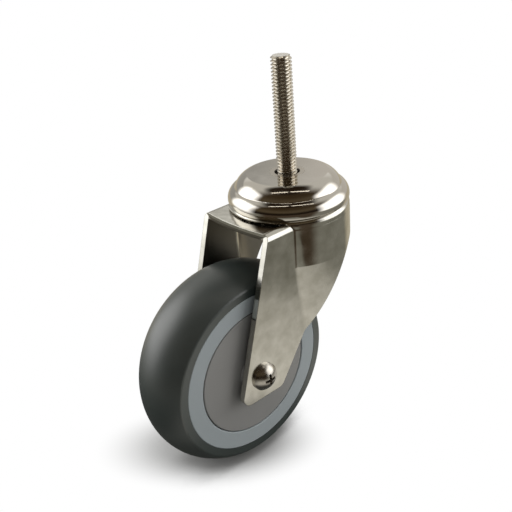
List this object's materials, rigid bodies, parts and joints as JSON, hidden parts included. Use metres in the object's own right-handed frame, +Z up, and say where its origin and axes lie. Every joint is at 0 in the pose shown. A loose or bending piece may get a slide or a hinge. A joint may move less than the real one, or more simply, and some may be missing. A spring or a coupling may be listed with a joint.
{
  "type": "swivel castor",
  "caption": "Swivel castor with a threaded stem, a deep-drawn stainless fork on ball races, and a rubber-tyred wheel with closed sides.",
  "frame": {"origin": "where the swivel axis meets the flat top of the cap, at the foot of the threaded stem", "axes": "+Z up along the stem, +X from the swivel axis towards the axle, +Y towards the head of the axle bolt"},
  "size_m": [0.1217, 0.061, 0.187],
  "materials": {
    "stainless_polished": "polished stainless",
    "stainless_satin": "satin stainless",
    "stainless_turned": "turned stainless",
    "bearing_steel": "ground",
    "cage_brass": "plain",
    "tread_rubber": "matt",
    "core_plastic": "moulded, light grey",
    "guard_plastic": "moulded, warm grey",
    "nylon": "plain"
  },
  "bodies": {
    "stem_head": {"stem_bolt": "stainless_turned", "stem_washer": "stainless_turned", "kingpin": "stainless_turned", "top_cap": "stainless_polished", "lower_race_cup": "stainless_satin"},
    "upper_ball_row": {"upper_race_balls": "bearing_steel"},
    "lower_ball_row": {"lower_race_balls": "bearing_steel"},
    "swivel_fork": {"fork": "stainless_satin", "thread_guard_head_side": "guard_plastic", "thread_guard_nut_side": "guard_plastic", "axle_bolt": "stainless_polished", "axle_washer": "stainless_turned", "axle_nut": "stainless_turned", "axle_nut_insert": "nylon", "axle_sleeve": "stainless_turned", "bearing_spacer": "stainless_turned", "inner_ring_head_side": "bearing_steel", "inner_ring_nut_side": "bearing_steel"},
    "wheel": {"wheel_core": "core_plastic", "tyre": "tread_rubber", "outer_ring_head_side": "bearing_steel", "outer_ring_nut_side": "bearing_steel", "bearing_shields_head_side": "bearing_steel", "bearing_shields_nut_side": "bearing_steel"},
    "wheel_balls_head_side": {"bearing_balls_head_side": "bearing_steel", "ball_cage_head_side": "cage_brass"},
    "wheel_balls_nut_side": {"bearing_balls_nut_side": "bearing_steel", "ball_cage_nut_side": "cage_brass"}
  },
  "joints": [
    {"name": "swivel", "type": "hinge", "parent": "stem_head", "child": "swivel_fork", "pos_m": [0, 0, 0], "axis": [0, 0, 1], "continuous": true},
    {"name": "upper_ball_row_turn", "type": "hinge", "parent": "stem_head", "child": "upper_ball_row", "pos_m": [0, 0, -0.0112], "axis": [0, 0, 1], "continuous": true},
    {"name": "lower_ball_row_turn", "type": "hinge", "parent": "stem_head", "child": "lower_ball_row", "pos_m": [0, 0, -0.01755], "axis": [0, 0, 1], "continuous": true},
    {"name": "wheel_spin", "type": "hinge", "parent": "swivel_fork", "child": "wheel", "pos_m": [0.04285, 0, -0.08325], "axis": [0, 1, 0], "continuous": true},
    {"name": "wheel_balls_head_side_turn", "type": "hinge", "parent": "swivel_fork", "child": "wheel_balls_head_side", "pos_m": [0.04285, 0.009, -0.08325], "axis": [0, 1, 0], "continuous": true},
    {"name": "wheel_balls_nut_side_turn", "type": "hinge", "parent": "swivel_fork", "child": "wheel_balls_nut_side", "pos_m": [0.04285, -0.009, -0.08325], "axis": [0, 1, 0], "continuous": true}
  ],
  "couplings": [
    {"joint": "upper_ball_row_turn", "follows": "swivel", "ratio": 0.5},
    {"joint": "lower_ball_row_turn", "follows": "swivel", "ratio": 0.5},
    {"joint": "wheel_balls_head_side_turn", "follows": "wheel_spin", "ratio": 0.632},
    {"joint": "wheel_balls_nut_side_turn", "follows": "wheel_spin", "ratio": 0.632}
  ]
}
